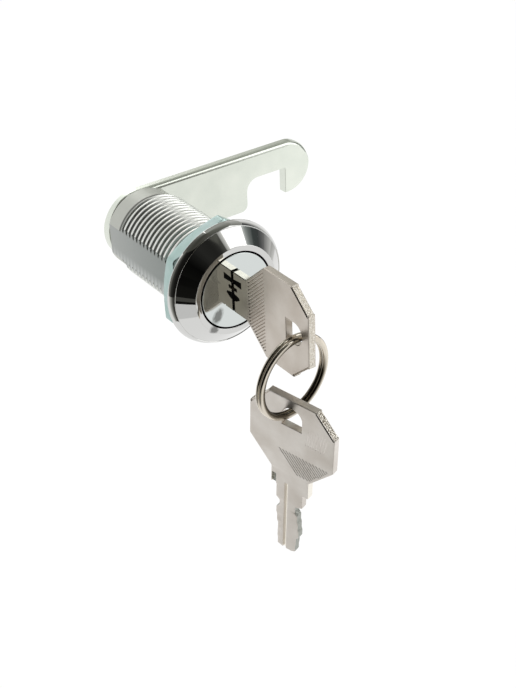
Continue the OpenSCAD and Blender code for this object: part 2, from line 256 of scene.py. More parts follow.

# Chrome plate: a mirror on the polished bezel, and a duller plate with the casting's waviness on the barrel.
# The flats are painted grey as shade, lighter towards the rear, with a painted ripple of light and shade from
# the thread's crests low down. The thread's roots and a band just past its end have painted shade, the gap
# round the plug is painted black as shade, and the lip has a painted grey reflection in a streaky oval.
chrome, tree, shader, place = metal("chrome_plated_zinc_polished_and_cast", "#D1D1CF", 0.05)
parts = node(tree, "SeparateXYZ", {"Vector": place}).outputs
behind = node(tree, "MapRange", {"Value": parts["Y"], "From Min": 0, "From Max": 0.3*MM})
across = node(tree, "CombineXYZ", {"X": parts["X"], "Z": parts["Z"]})
reach = node(tree, "VectorMath", {0: across}, operation="LENGTH")
# Painted shade: the thread's roots are coloured darker, where shade falls in them.
groove_shade = node(tree, "MapRange", {"Value": reach, "From Min": (barrel_r - 0.22)*MM,
                                    "From Max": (barrel_r - 0.42)*MM})
turned = node(tree, "Mix", {"Factor": groove_shade, "A": colour("#DCDED9"), "B": colour("#9A9C96")},
              data_type="RGBA")
at_end = node(tree, "MapRange", {"Value": parts["Y"], "From Min": (thread_end + 0.1)*MM,
                                 "From Max": (thread_end + 0.5)*MM})
turned = node(tree, "Mix", {"Factor": at_end, "A": turned, "B": colour("#C7C9C2")}, data_type="RGBA")
# Painted shade: a dark band just past the thread's end, where the last crest shades the plain end.
past_thread = node(tree, "Math", {0: parts["Y"], 1: (thread_end + 0.4)*MM}, operation="SUBTRACT")
past_thread = node(tree, "Math", {0: past_thread}, operation="ABSOLUTE")
end_crest_shade = node(tree, "MapRange", {"Value": past_thread, "From Min": 0.32*MM, "From Max": 0.08*MM})
turned = node(tree, "Mix", {"Factor": end_crest_shade, "A": turned, "B": colour("#5B5C58")}, data_type="RGBA")
plate_tone = node(tree, "Mix", {"Factor": behind, "A": colour("#D1D1CF"), "B": turned}, data_type="RGBA")
# Painted shade on the flats: grey, lighter towards the rear, with a painted ripple of light and shade low
# down.
along_flat = node(tree, "MapRange", {"Value": parts["Y"], "From Min": flat_fade_y[0]*MM,
                                     "From Max": flat_fade_y[1]*MM})
flat_shade = node(tree, "Mix", {"Factor": along_flat, "A": colour("#888D8A"), "B": colour("#A1A4A1")},
            data_type="RGBA")
turns = node(tree, "Math", {0: parts["Y"], 1: 2*math.pi/(thread_pitch*MM)}, operation="MULTIPLY")
ripple = node(tree, "Math", {0: turns}, operation="SINE")
ripple = node(tree, "MapRange", {"Value": ripple, "From Min": -1, "From Max": 1})
ripple_light = node(tree, "Mix", {"Factor": ripple, "A": colour("#A8ABA9"), "B": colour("#C6C9C7")},
               data_type="RGBA")
low_down = node(tree, "MapRange", {"Value": parts["Z"], "From Min": flat_fade_z[0]*MM,
                                   "From Max": flat_fade_z[1]*MM})
flat_shade = node(tree, "Mix", {"Factor": low_down, "A": flat_shade, "B": ripple_light}, data_type="RGBA")
aside = node(tree, "Math", {0: parts["X"]}, operation="ABSOLUTE")
on_flat = node(tree, "MapRange", {"Value": aside, "From Min": (barrel_flat_x - 0.04)*MM,
                                  "From Max": (barrel_flat_x - 0.01)*MM})
on_flat = node(tree, "Math", {0: on_flat, 1: behind}, operation="MULTIPLY")
plate_tone = node(tree, "Mix", {"Factor": on_flat, "A": plate_tone, "B": flat_shade}, data_type="RGBA")
# Painted shade: the bezel's bore round the plug is black, as shade in the gap.
gap_shade = node(tree, "MapRange", {"Value": reach, "From Min": (head_bore_r + 0.04)*MM,
                                 "From Max": (head_bore_r + 0.01)*MM})
gap_shade = node(tree, "Math", {0: gap_shade, 1: behind}, operation="SUBTRACT", use_clamp=True)
plate_tone = node(tree, "Mix", {"Factor": gap_shade, "A": plate_tone, "B": colour("#060605")}, data_type="RGBA")
# Painted reflection: a grey streaky oval on the lip.
grey_reflection = streaky_oval(tree, place, lip_reflection_at, lip_reflection_reach, lip_reflection_deg)
plate_tone = node(tree, "Mix", {"Factor": grey_reflection, "A": plate_tone, "B": colour("#80807E")},
                  data_type="RGBA")
smudge = node(tree, "TexNoise", {"Vector": place, "Scale": 1/(6*MM), "Detail": 3})
polish = node(tree, "MapRange", {"Value": smudge, "To Min": 0.02, "To Max": 0.06})
cast = node(tree, "MapRange", {"Value": smudge, "To Min": 0.28, "To Max": 0.38})
finish = node(tree, "Mix", {"Factor": behind, "A": polish, "B": cast})
round_end = node(tree, "Math", {0: at_end, 1: on_flat}, operation="SUBTRACT", use_clamp=True)
finish = node(tree, "Mix", {"Factor": round_end, "A": finish, "B": 0.5})
wave = node(tree, "TexNoise", {"Vector": place, "Scale": 1/(2.2*MM), "Detail": 2})
wave_depth = node(tree, "Math", {0: behind, 1: 0.02*MM}, operation="MULTIPLY")
bump = node(tree, "Bump", {"Height": wave, "Distance": wave_depth})
join(tree, shader, {"Base Color": plate_tone, "Roughness": finish, "Normal": bump})
dress(body_piece, chrome, "body", "chrome_plated_zinc", "body")


# Mounting nut
# Thin steel hexagon nut, chamfered on both faces and blue zinc plated. It runs on the barrel's thread and
# clamps the door panel against the bezel.

nut_low, nut_high = (corner/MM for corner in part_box("mounting_nut"))
nut_half_flats = 9.8
nut_corner_deg = 84
thread_clear = 0.07


def hexagon(turn, half_flats, corner_deg, crispness=70):
    """Radius of a hexagon with slightly rounded corners."""
    sides = np.arange(6)*60 + corner_deg + 30
    reach = np.maximum(np.cos(turn[:, None] - np.radians(sides)), 0)
    return half_flats*np.sum(reach**crispness, 1)**(-1/crispness)


def hexagon_nut(name, half_flats, corner_deg, low, high, crest, depth, pitch, step):
    """Hexagon nut on the lock axis with chamfered corners and a thread inside."""
    corners = [corner_deg + 60*k for k in range(-1, 5)]
    turn = angles(*[(corner - 3, corner + 3) for corner in corners], step=step)
    corner_r = half_flats/math.cos(math.radians(30))
    chamfer_slope = math.tan(math.radians(30))
    chamfer_in = 0.15
    flats = hexagon(turn, half_flats, corner_deg)
    bore_chamfer = 0.35
    rows = [row(turn, crest + bore_chamfer, low)]
    for along in np.linspace(0, 1, 25):
        y = low + (high - low)*along
        cone = half_flats - chamfer_in + min(y - low, high - y)/chamfer_slope
        rows.append(row(turn, np.minimum(flats, min(cone, corner_r)), y))
    rows.append(row(turn, crest + bore_chamfer, high))
    for y in reversed(thread_places(turn, low, high, pitch)):
        lead_in = np.maximum(bore_chamfer - np.minimum(y - low, high - y), 0)
        cut = thread_radius(turn, y, crest, depth, pitch)
        rows.append(row(turn, np.maximum(cut, crest - bore_chamfer + 2*lead_in), y))
    return skin(name, rows, sharp_deg=20)


def patches(tree, place, size, detail, dark, light, limits=(0.3, 0.7)):
    """Colour that drifts between two tones in soft patches of a given size."""
    drift = node(tree, "TexNoise", {"Vector": place, "Scale": 1/(size*MM), "Detail": detail})
    tint = node(tree, "ValToRGB", {"Fac": drift})
    for stop, limit, code in zip(tint.color_ramp.elements, limits, (dark, light)):
        stop.position = limit
        stop.color = colour(code)
    return tint


mounting_nut = hexagon_nut("panel_nut", nut_half_flats, nut_corner_deg, nut_low.y, nut_high.y,
                           barrel_r + thread_clear, thread_depth, thread_pitch, 3)

# Blue-passivated zinc plate: a pale teal sheen over barrel-tumbled steel, softly mottled. The tumbled grain
# is drawn coarse enough to show.
blue_zinc, tree, shader, place = metal("zinc_plate_blue_passivated", "#A9C3BE", 0.34)
tint = patches(tree, place, 3, 4, "#A2BBB6", "#BACBC9", (0.3, 0.72))
tumble = node(tree, "TexNoise", {"Vector": place, "Scale": 1/(0.25*MM), "Detail": 2})
bump = node(tree, "Bump", {"Height": tumble, "Distance": 0.006*MM})
join(tree, shader, {"Base Color": tint, "Normal": bump})
dress(mounting_nut, blue_zinc, "mounting_nut", "blue_zinc_steel", "mounting_nut")


# Plug
# Zinc plug, turned and plated, with a mirror-polished face. The keyway runs through its face, six slots
# cross it for the wafers, and the flatted tail and threaded stud at its rear carry the cam.

plug_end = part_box("plug")[1].y/MM
head_r = 6.8
head_rear = -1.1
plug_r = 5.4
plug_rear = 24.45
tail_r = 3.5
tail_flat_x = 2.7
tail_rear = 28.25
stud_r = 2.5
stud_pitch = 0.8
stud_depth = 0.4
stud_chamfer = 0.4
keyway_half_w = 0.78
keyway_half_h = 2.83
keyway_end = 12.5
rib_in = 0.32
rib_half_w = 0.27
rib_off = 0.65
wafer_sides = (1, -1, -1, 1, -1, 1)
wafer_first = 0.6
wafer_pitch = 2
slot_half_w = 3.38
slot_half_t = 0.58
post = ((1.36, 1.65), (2.32, 2.55))
tail_edges_deg = ((38, 41), (139, 142), (218, 221), (319, 322))
# Ends, along the axis, of the painted black shade inside the plug.
shade_front_y = (-3.6, -3.5)
shade_rear_y = (24, 24.4)
# Place, reach and lean of the painted grey reflection on the plug's face.
face_reflection_at = (-3.98, bezel_front, -3.62)
face_reflection_reach = (1.9, 1.2)
face_reflection_deg = -58


def plate(name, loops, low, high, roll_low=0, roll_high=0, steps=3, rolled=lambda spot: 1):
    """Flat piece from plan loops (outside anticlockwise, holes clockwise), with its rims rolled over in full
    or by the share that a function of the place gives."""
    section = [(roll_low*(1 - math.sin(a)), low + roll_low*(1 - math.cos(a)))
               for a in np.linspace(0, math.pi/2, steps + 1)]
    section += [(roll_high*(1 - math.cos(a)), high - roll_high*(1 - math.sin(a)))
                for a in np.linspace(0, math.pi/2, steps + 1)]
    points, faces, bottoms, tops = [], [], [], []
    for loop in loops:
        loop = np.array(loop)
        ahead = np.roll(loop, -1) - loop
        out = -1j*ahead/np.abs(ahead)
        before = np.roll(out, 1)
        mitre = (out + before)/(1 + (out*before.conj()).real)
        mitre *= [rolled(spot) for spot in loop]
        first, count = len(points), len(loop)
        for inset, height in section:
            ring = loop - mitre*inset
            points += [(spot.real, spot.imag, height) for spot in ring]
        for level in range(len(section) - 1):
            a, b = first + level*count, first + (level + 1)*count
            faces += [(a + j, a + (j + 1) % count, b + (j + 1) % count, b + j) for j in range(count)]
        bottoms.append(range(first, first + count))
        tops.append(range(first + (len(section) - 1)*count, first + len(section)*count))
    for rims in (bottoms, tops):
        order = [k for rim in rims for k in rim]
        fill = tessellate_polygon([[Vector(points[k]) for k in rim] for rim in rims])
        faces += [tuple(order[k] for k in corner) for corner in fill]
    return solid(name, points, faces)


def across_axis(piece):
    """Turns a plan in X and Y into one in X and Z, with its heights along the lock axis."""
    piece.data.transform(Matrix(((1, 0, 0, 0), (0, 0, 1, 0), (0, 1, 0, 0), (0, 0, 0, 1))))
    piece.data.flip_normals()
    return piece


def carve(piece, cutters):
    """Cuts one piece after another out of a piece, and removes the cutters."""
    for cutter in cutters:
        cutter.modifiers.clear()
        piece.modifiers.clear()
        tool = piece.modifiers.new("tool", "BOOLEAN")
        tool.object = cutter
        tool.solver = "MANIFOLD"
        view = bpy.context.evaluated_depsgraph_get()
        piece.data = bpy.data.meshes.new_from_object(piece.evaluated_get(view))
        bpy.data.objects.remove(cutter)
    piece.modifiers.clear()
    return smooth(piece)


def box_loop(x0, z0, x1, z1):
    """Anticlockwise rectangle."""
    return [complex(x0, z0), complex(x1, z0), complex(x1, z1), complex(x0, z1)]


plug_turn = angles(*tail_edges_deg, step=3)
tail = np.minimum(tail_r, flat_sides(plug_turn, tail_flat_x))
plug_rows = [row(plug_turn, 0, bezel_front)]
plug_rows += [row(plug_turn, spot.real, spot.imag) for spot in rounded(
    [(0.1, bezel_front, 0), (head_r, bezel_front, 0.1), (head_r, head_rear, 0)])[1:]]
for r, y in ((plug_r, head_rear), (plug_r, plug_rear), (tail, plug_rear), (tail, tail_rear),
             (stud_r, tail_rear)):
    plug_rows.append(row(plug_turn, r, y))
for y in thread_places(plug_turn, tail_rear, plug_end, stud_pitch, 10):
    taper = np.minimum(stud_r - stud_chamfer + plug_end - y, stud_r)
    cut = thread_radius(plug_turn, y, stud_r, stud_depth, stud_pitch)
    plug_rows.append(row(plug_turn, np.minimum(cut, taper), y))
plug_rows.append(row(plug_turn, 0, plug_end))
plug_piece = skin("key_plug", plug_rows, closed=False)

cutters = []
w, h, rib = keyway_half_w, keyway_half_h, keyway_half_w - rib_in
rib_low, rib_high = -rib_off - rib_half_w, -rib_off + rib_half_w
keyway_loop = [complex(-w, -h), complex(w, -h), complex(w, rib_low), complex(rib, rib_low),
               complex(rib, rib_high), complex(w, rib_high)]
keyway_loop += [-spot for spot in keyway_loop]
cutters.append(across_axis(plate("keyway", [keyway_loop], bezel_front - 1, keyway_end)))
for i, side in enumerate(wafer_sides):
    y = wafer_first + i*wafer_pitch
    hole = box_loop(*post[0], *post[1])[::-1]
    slot_loops = [box_loop(-slot_half_w, -head_r, slot_half_w, head_r), hole]
    if side < 0:
        slot_loops = [[spot.conjugate() for spot in loop][::-1] for loop in slot_loops]
    cutters.append(across_axis(plate("slot", slot_loops, y - slot_half_t, y + slot_half_t)))
carve(plug_piece, cutters)

# Polished plate on the plug: as bright as the bezel, with hair-fine wear from keys and a painted grey
# reflection low on the left of its face, and painted black shade inside.
plug_plate, tree, shader, place = metal("zinc_plug_plated_mirror_polish", "#D2D7D5", 0.04)
# Painted shade: black inside the plug, behind its face.
along = node(tree, "SeparateXYZ", {"Vector": place}).outputs["Y"]
inside = node(tree, "MapRange", {"Value": along, "From Min": shade_front_y[0]*MM,
                                 "From Max": shade_front_y[1]*MM})
outside = node(tree, "MapRange", {"Value": along, "From Min": shade_rear_y[0]*MM,
                                  "From Max": shade_rear_y[1]*MM})
inside_shade = node(tree, "Math", {0: inside, 1: outside}, operation="SUBTRACT")
face_tone = node(tree, "Mix", {"Factor": inside_shade, "A": colour("#D2D7D5"), "B": colour("#0B0A09")},
                 data_type="RGBA")
# Painted reflection: a grey streaky oval low on the left of the face.
grey_reflection = streaky_oval(tree, place, face_reflection_at, face_reflection_reach, face_reflection_deg)
face_tone = node(tree, "Mix", {"Factor": grey_reflection, "A": face_tone, "B": colour("#7E807D")}, data_type="RGBA")
wear_and_sheen = node(tree, "TexNoise", {"Vector": place, "Scale": 1/(2.5*MM), "Detail": 4})
polish = node(tree, "MapRange", {"Value": wear_and_sheen, "To Min": 0.02, "To Max": 0.075})
join(tree, shader, {"Base Color": face_tone, "Roughness": polish})
dress(plug_piece, plug_plate, "plug", "polished_plug_zinc", "plug")


# Wafers and their springs
# Six thin stamped brass plates cross the plug. A coil spring in each one's pocket pushes it towards the
# body, and the key's cuts hold it back.

# Stamped brass: warm yellow, matt from the die, with darker tarnish in patches.
brass, tree, shader, place = metal("brass_stamped", "#C9A557", 0.32)
join(tree, shader, {"Base Color": patches(tree, place, 1.5, 4, "#A98645", "#D2B068", (0.35, 0.7))})

# Spring steel: dark and oily, with the wire's slight grain drawn coarse enough to show.
spring_steel, tree, shader, place = metal("spring_steel_oiled", "#7E7E80", 0.3)
grain = node(tree, "TexNoise", {"Vector": place, "Scale": 1/(0.2*MM), "Detail": 3})
oil = node(tree, "MapRange", {"Value": grain, "To Min": 0.2, "To Max": 0.42})
join(tree, shader, {"Roughness": oil})


def finish_node(name, made):
    """Gives a solid of the frame a material in place of its plain one."""
    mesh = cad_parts[name].data
    mesh.materials.clear()
    mesh.materials.append(made)


for i in range(1, 7):
    finish_node(f"wafer_{i}", brass)
    finish_node(f"wafer_spring_{i}", spring_steel)


# Stop washer
# Zinc-plated steel disc, stamped and slid on the tail's flats. Its tab turns in the barrel's recess and stops
# the plug at both ends.

# Zinc-plated steel: plain grey and a little cloudy.
plated_steel, tree, shader, place = metal("steel_zinc_plated", "#C4C7C8", 0.28)
cloud = node(tree, "TexNoise", {"Vector": place, "Scale": 1/(2*MM), "Detail": 4})
dull = node(tree, "MapRange", {"Value": cloud, "To Min": 0.2, "To Max": 0.38})
join(tree, shader, {"Roughness": dull})
finish_node("stop_washer", plated_steel)


# Cam
# Stamped steel arm with a hook at its end, zinc plated. It sits on the tail's flats, so it turns with the
# plug and closes behind the door frame.

cam_low, cam_high = (corner/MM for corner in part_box("cam"))
cam_hub_r = -cam_low.x
cam_end_r = 5.3
cam_edge_low = -4.6
notch_x = (23.7, 32.8)
notch_roof = 1.75
cam_roll = 0.8
cam_rear_roll = 0.15
roll_fade = 3
roll_least = 0.12
cam_clear = 0.05


def arc(centre, r, start_deg, end_deg, steps):
    """Points of an arc."""
    return [centre + cmath.rect(r, math.radians(a)) for a in np.linspace(start_deg, end_deg, steps + 1)]


def double_d(r, flat_x, steps=12):
    """Clockwise hole with two flats at left and right."""
    edge = math.degrees(math.acos(flat_x/r))
    return arc(0, r, 180 - edge, edge, steps) + arc(0, r, -edge, edge - 180, steps)


end_centre = complex(cam_high.x - cam_end_r, cam_hub_r - cam_end_r)
hook_deg = -90 - math.degrees(math.asin((end_centre.real - notch_x[1])/cam_end_r))
hook_tip = end_centre + cmath.rect(cam_end_r, math.radians(hook_deg))
hub_end_deg = 360 - math.degrees(math.asin(-cam_edge_low/cam_hub_r))
hub_end = cmath.rect(cam_hub_r, math.radians(hub_end_deg))
cam_loop = rounded([
    (hub_end.real, hub_end.imag, 0), (notch_x[0], cam_edge_low, 1.5), (notch_x[0], notch_roof, 2.5),
    (notch_x[1], notch_roof, 0.25), (hook_tip.real, hook_tip.imag, 0)], 8)
cam_loop += arc(end_centre, cam_end_r, hook_deg + 4, 90, 28) + arc(0, cam_hub_r, 90, hub_end_deg - 4, 36)
cam_hole = double_d(tail_r + cam_clear, tail_flat_x + cam_clear)
cam_piece = across_axis(plate(
    "hooked_cam", [cam_loop, cam_hole], cam_low.y, cam_high.y, cam_roll, cam_rear_roll, 5,
    lambda spot: min(max((spot.imag - notch_roof)/roll_fade, roll_least), 1)))

# Clear-passivated zinc plate: pale, faintly green, with the soft grain of rolled sheet, drawn coarse enough
# to show.
cam_zinc, tree, shader, place = metal("zinc_plate_clear_passivated_sheet", "#DADED4", 0.2)
tint = patches(tree, place, 5, 3, "#D6DBD1", "#DFE3D9")
sheet = node(tree, "TexNoise", {"Vector": place, "Scale": 1/(0.4*MM), "Detail": 3})
bump = node(tree, "Bump", {"Height": sheet, "Distance": 0.004*MM})
join(tree, shader, {"Base Color": tint, "Normal": bump})
dress(cam_piece, cam_zinc, "plug", "cam_zinc_steel", "cam")


# Lock washer and cam nut
# A split washer of oiled spring steel, and a zinc-plated steel hexagon nut. The nut is screwed on the plug's
# stud and holds the cam on the tail.

washer_low, washer_high = (corner/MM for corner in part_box("lock_washer"))
washer_r = washer_high.z
washer_hole_r = 2.58
washer_gap_deg = 5
washer_inner_gap_deg = 9
washer_roll = 0.12
washer_loop = arc(0, washer_r, washer_gap_deg, 360 - washer_gap_deg, 60)
washer_loop += arc(0, washer_hole_r, 360 - washer_inner_gap_deg, washer_inner_gap_deg, 48)
split_washer = across_axis(plate("split_washer", [washer_loop], washer_low.y, washer_high.y,
                                 washer_roll, washer_roll))
dress(split_washer, spring_steel, "plug", "spring_steel", "lock_washer")

cam_nut_low, cam_nut_high = (corner/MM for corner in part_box("cam_nut"))
cam_nut_half_flats = 4
cam_nut_corner_deg = 102
cam_nut = hexagon_nut("stud_nut", cam_nut_half_flats, cam_nut_corner_deg, cam_nut_low.y, cam_nut_high.y,
                      stud_r + thread_clear, stud_depth, stud_pitch, 4)
dress(cam_nut, plated_steel, "plug", "plated_steel", "cam_nut")


# Keys
# Two like keys stamped from nickel silver sheet and nickel plated: a bow with sloped corners, a hatched grip
# and milled rear edges, and a blade cut on both sides. One is in the plug and the other hangs on the ring.

key_t = 1.4
shoulder_y = -3.75
neck_half_w = 3.9
neck_l = 3.8
bow_half_w = 8.5
bow_front = 9
bow_rear = 16.5
bow_end = 20.7
bow_end_half_w = 4.8
hole_half_w = 2
hole_base = 14.7
hole_arch = 16.9
blade_half_w = 2.75
blade_l = 15.4
tip_half_w = 0.9
cut_half = 0.66
cut_lead = 0.6
cut_upper = (0.75, 0.1, 0.3, 0.55, 0.5, 0.6)
cut_lower = (1.4, 0.9, 0.7, 0.5, 1, 1.1)
groove_half_w = 0.35
groove_h = 0.4
groove_off = 0.65
hatch_v = (4.5, 8.95)
hatch_pitch = 0.67
hatch_h = 0.12
corner_hatch_h = 0.045
corner_pitch = 0.5
groove_line_w = 0.28
edge_line_in = 0.3
mill_in = 0.14
mill_end = 0.25
shade_patch_h = 0.06
seam_w = 0.35
step_h = 0.35
step_u = (-3.7, -2.8)
step_end = 2.4
key_roll = 0.15
key_corner_r = 0.17
# Outlines of the patches of painted black shade on the neck of the key in the plug.
upper_shade_patch = ((-2.5, -0.1), (-1.65, -0.1), (-1.5, 2.5), (-2.75, 2.5))
lower_shade_patch = ((0.1, -0.1), (1.7, -0.1), (1.6, 0.8), (0.9, 1.9), (0.5, 1.7))
shade_patch_reach = (3.3, 2.87)
hatch_margin = 0.4
corner_hatch_from = 1
corner_patch_u = (2.9, 6.9)
corner_patch_front = 2.2
corner_patch_lean = 0.7
edge_line_h = 0.16


def blade_side(side, cuts):
    """One edge of the blade from the shoulder to the last cut."""
    first = wafer_first - shoulder_y
    edge = [(side*blade_half_w, 0), (side*blade_half_w, -first + cut_half + cut_lead)]
    for i, depth in enumerate(cuts):
        v = -first - i*wafer_pitch
        edge += [(side*(blade_half_w - depth), v + cut_half), (side*(blade_half_w - depth), v - cut_half)]
    return edge


def mill(start, end):
    """Points of a bow's sloped edge from start to end, milled back between its ends."""
    run = (end - start)/abs(end - start)
    back = 1j*run*mill_in
    first, last = start + mill_end*run, end - mill_end*run
    return [start, first, first + back, last + back, last, end]


def key(name, front, plug_shaded):
    """Flat key about its shoulder: across is X, the bow is on +Y, and the near face is on +Z."""
    left = [(-neck_half_w, neck_l), (-neck_half_w, 0)] + blade_side(-1, cut_upper)
    right = blade_side(1, cut_lower)[::-1] + [(neck_half_w, 0), (neck_half_w, neck_l)]
    slope = mill(complex(bow_half_w, bow_rear), complex(bow_end_half_w, bow_end))
    bow = [(bow_half_w, bow_front, 0.25)] + [(spot.real, spot.imag, 0.04) for spot in slope]
    bow += [(-across, along, r) for across, along, r in reversed(bow)]
    outline = rounded([(*spot, key_corner_r) for spot in left]
                      + [(-tip_half_w, -blade_l, 0.3), (tip_half_w, -blade_l, 0.3)]
                      + [(*spot, key_corner_r) for spot in right] + bow, 3)
    hole = [complex(-hole_half_w, hole_base)] + arc(1j*hole_arch, hole_half_w, 180, 0, 16)
    hole.append(complex(hole_half_w, hole_base))
    made = plate(name, [outline, hole], -key_t/2, key_t/2, key_roll, key_roll)
    cutters = []
    # The key in the plug gets shallow patches on its neck and a line where it meets the plug, painted black
    # as shade.
    if plug_shaded:
        shade_patches = [[complex(*spot) for spot in shade_patch] for shade_patch in (upper_shade_patch, lower_shade_patch)]
        shade_patches.append(box_loop(-bow_half_w, -0.1, bow_half_w, seam_w))
        cutters += [plate("shade_patch", [shade_patch], key_t/2 - shade_patch_h, key_t) for shade_patch in shade_patches]
        side_seam = box_loop(-bow_half_w, -0.1, shade_patch_h - neck_half_w, seam_w)
        cutters.append(plate("shade_patch", [side_seam], -key_t, key_t))
    else:
        step = box_loop(step_u[0], -1, step_u[1], step_end)
        cutters.append(plate("step", [step], key_t/2 - step_h, key_t))
    for s in (-1, 1):
        low, high = sorted((s*(key_t/2 - groove_h), s*(key_t/2 + 1)))
        groove = box_loop(-s*groove_off - groove_half_w, -blade_l - 1, -s*groove_off + groove_half_w, 1.2)
        cutters.append(plate("groove", [groove], low, high))
        if s == front:
            cutters.append(grooves(hatching(s), s, hatch_h))
        else:
            cutters.append(grooves(corner_hatching(s), s, corner_hatch_h))
        inset = 1j*(slope[-1] - slope[0])/abs(slope[-1] - slope[0])*edge_line_in
        lines = [(slope[0] + inset, slope[-1] + inset)]
        lines.append(tuple(-spot.conjugate() for spot in lines[0]))
        cutters.append(grooves(lines, s, edge_line_h))
    return carve(made, cutters)


def grooves(lines, s, depth):
    """V grooves along lines on one face of a key."""
    points, faces = [], []
    for start, end in lines:
        side = 1j*(end - start)/abs(end - start)*groove_line_w/2
        first = len(points)
        for spot in (start, end):
            points += [(edge.real, edge.imag, s*(key_t/2 + 0.02)) for edge in (spot - side, spot + side)]
            points.append((spot.real, spot.imag, s*(key_t/2 - depth)))
        faces += [(first, first + 1, first + 2), (first + 5, first + 4, first + 3)]
        faces += [(first + a, first + b, first + 3 + b, first + 3 + a) for a, b in ((0, 1), (1, 2), (2, 0))]
    return solid("grooves", points, faces)


def hatching(s):
    """Slanting lines across the front of the bow on one face, parallel to its front slope."""
    slope = complex(bow_half_w - neck_half_w, bow_front - neck_l)
    run = hatch_v[1] - hatch_v[0]
    lean = run*slope.real/slope.imag
    lines = []
    for across in np.arange(-bow_half_w - lean, bow_half_w + lean, hatch_pitch):
        line = []
        for v in np.linspace(0, run, 23):
            u = across - s*lean*v/run
            limit = neck_half_w + slope.real/slope.imag*(hatch_v[0] + v - neck_l) - hatch_margin
            if abs(u) < limit:
                line.append(complex(u, hatch_v[0] + v))
        if len(line) > 2:
            lines.append((line[0], line[-1]))
    return lines


def corner_hatching(s):
    """Slanting lines in two corners of the bow's other face: one end of its front, and by the hole."""
    lines = [line for line in hatching(s) if s*line[0].real > corner_hatch_from]
    for across in np.arange(*corner_patch_u, corner_pitch):
        start = complex(across, hole_base - corner_patch_front)
        rear = min(bow_rear - 0.2, bow_rear + bow_half_w - across - corner_patch_u[0])
        end = complex(across + corner_patch_lean, rear)
        lines.append((start, end) if s > 0 else (-start.conjugate(), -end.conjugate()))
    return lines


def satin_nickel(name, dark, light):
    """Satin nickel plate that shifts between two tones in broad, faint stains."""
    made, tree, shader, place = metal(name, light, 0.36)
    tint = patches(tree, place, 5, 3, dark, light)
    tumble = node(tree, "TexNoise", {"Vector": place, "Scale": 1/(0.35*MM), "Detail": 3})
    bump = node(tree, "Bump", {"Height": tumble, "Distance": 0.006*MM})
    join(tree, shader, {"Base Color": tint, "Normal": bump})
    return made


# Satin nickel plate: warm grey, tumbled to a fine even grain that spreads the light, drawn coarse enough to
# show. The spare key is less handled, so its plate is cleaner and paler.
handled_nickel = satin_nickel("nickel_plate_satin_handled", "#BAB1A6", "#CBC4BB")
clean_nickel = satin_nickel("nickel_plate_satin_clean", "#CEC7BF", "#E1DCD6")


def milled_nickel(name, pit, metallic):
    """Coarse milled nickel plate with pits of a given tone between its bright grains."""
    made, tree, shader, place = metal(name, "#FAF4E8", 0.3)
    grain = node(tree, "TexVoronoi", {"Vector": place, "Scale": 1/(0.27*MM)})
    pits = node(tree, "MapRange", {"Value": grain, "From Min": 0.42, "From Max": 0.62})
    speckle = node(tree, "Mix", {"Factor": pits, "A": colour("#FAF4E8"), "B": colour(pit)}, data_type="RGBA")
    shine = node(tree, "MapRange", {"Value": grain, "From Max": 0.6, "To Min": 0.16, "To Max": 0.45})
    bump = node(tree, "Bump", {"Height": grain, "Distance": 0.12*MM})
    join(tree, shader, {"Base Color": speckle, "Metallic": metallic, "Roughness": shine, "Normal": bump})
    return made


# Milled nickel: the sloped edges' coarse grain, which glitters. On the key in the plug it is a paler, less
# metallic copy, painted light for the light its slope catches, and the spare key's has dark pits.
lit_mill = milled_nickel("nickel_plate_milled_painted_light", "#DCD4C4", 0.35)
pitted_mill = milled_nickel("nickel_plate_milled_pitted", "#857D6F", 1)

# Cut nickel silver: the bare metal of the cuts and the spare key's step, grey and torn by the cutting wheel.
bare, tree, shader, place = metal("nickel_silver_cut_bare", "#A8AAA3", 0.45)
tear = node(tree, "TexVoronoi", {"Vector": place, "Scale": 1/(0.4*MM)})
bump = node(tree, "Bump", {"Height": tear, "Distance": 0.15*MM})
join(tree, shader, {"Normal": bump})

# Painted-bright nickel: a paler, smoother copy of the plate on the neck's edges and the grooves' floors,
# painted light that stands in for the light they catch and offsets the shade in the grooves.
painted_bright_nickel, tree, shader, place = metal("nickel_plate_painted_bright", "#F4EFE4", 0.18)
scuff = node(tree, "TexNoise", {"Vector": place, "Scale": 1/(0.8*MM), "Detail": 3})
shine = node(tree, "MapRange", {"Value": scuff, "To Min": 0.12, "To Max": 0.26})
join(tree, shader, {"Roughness": shine})

# Painted shade: dull, nearly black patches on the key's neck and a line where it meets the plug, where
# shade and dark reflections fall.
neck_shade, tree, shader, place = metal("neck_shade_painted_black", "#0B0A09", 0.6)
shade_noise = node(tree, "TexNoise", {"Vector": place, "Scale": 1/(0.4*MM), "Detail": 3})
shade_gloss = node(tree, "MapRange", {"Value": shade_noise, "To Min": 0.5, "To Max": 0.8})
join(tree, shader, {"Metallic": 0, "Specular IOR Level": 0.05, "Roughness": shade_gloss})

ring_r = 7.2
ring_yaw = math.radians(8)
ring_tilt = math.radians(3)
ring_turn = Matrix.Rotation(ring_yaw, 4, "Z") @ Matrix.Rotation(ring_tilt, 4, "X")
ring_hang = Vector((0, -21.45, -0.4))
ring_hang_deg = 77
spare_hang_deg = -94
spare_turns = ((-72, "Z"), (6.5, "Y"), (4.7, "X"))
spare_aside = 0.9
spare_play = 0.2


def ring_spot(degrees):
    """Place on the ring's middle line, from its centre."""
    a = math.radians(degrees)
    return ring_turn @ Vector((ring_r*math.cos(a), 0, ring_r*math.sin(a)))


